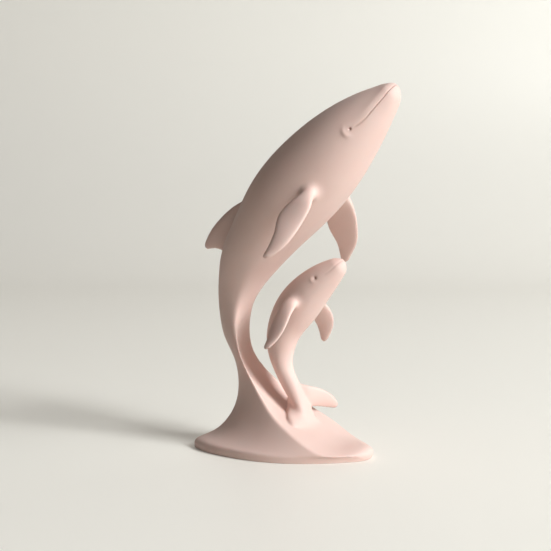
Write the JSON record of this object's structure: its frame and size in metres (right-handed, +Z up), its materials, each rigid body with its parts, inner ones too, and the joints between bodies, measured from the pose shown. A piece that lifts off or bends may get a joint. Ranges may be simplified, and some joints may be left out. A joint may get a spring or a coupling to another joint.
{
  "type": "whale figurine",
  "caption": "Tabletop ornament of a mother whale leaping from a wave with her calf below her, cast in matte resin with a flat leaf-shaped foot",
  "frame": {"origin": "on the flat underside, at the middle of the leaf-shaped foot", "axes": "Z up, X the way the whales leap and the slide of the wave runs, Y across the whales, with the near flank on -Y"},
  "size_m": [0.1283, 0.0991, 0.2131],
  "materials": {
    "cast_resin": "matte cast resin, pale pink and smooth"
  },
  "bodies": {
    "root": {"whale_figurine": "cast_resin"}
  },
  "joints": []
}
